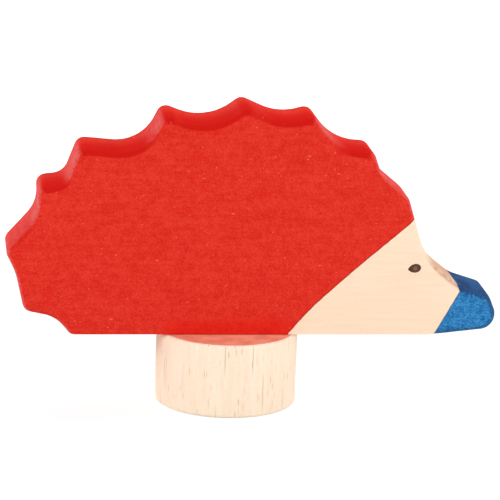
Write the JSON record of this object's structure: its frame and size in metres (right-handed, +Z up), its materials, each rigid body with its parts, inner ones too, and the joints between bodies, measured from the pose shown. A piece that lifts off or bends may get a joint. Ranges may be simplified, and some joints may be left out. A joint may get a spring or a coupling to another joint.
{
  "type": "hedgehog figurine",
  "caption": "Flat wooden hedgehog figurine with a scalloped red back, pale face and blue nose, glued on a round peg that stands alone or plugs into a ring",
  "frame": {"origin": "centre of the peg's foot, where the figurine stands", "axes": "+X towards the nose, -Y out of the face seen in the picture, +Z up"},
  "size_m": [0.0691, 0.02, 0.043],
  "materials": {
    "glazed_wood": "satin",
    "bare_wood": "matte"
  },
  "bodies": {
    "root": {"hedgehog_board": "glazed_wood", "base_peg": "bare_wood", "joining_dowel": "bare_wood"}
  },
  "joints": []
}
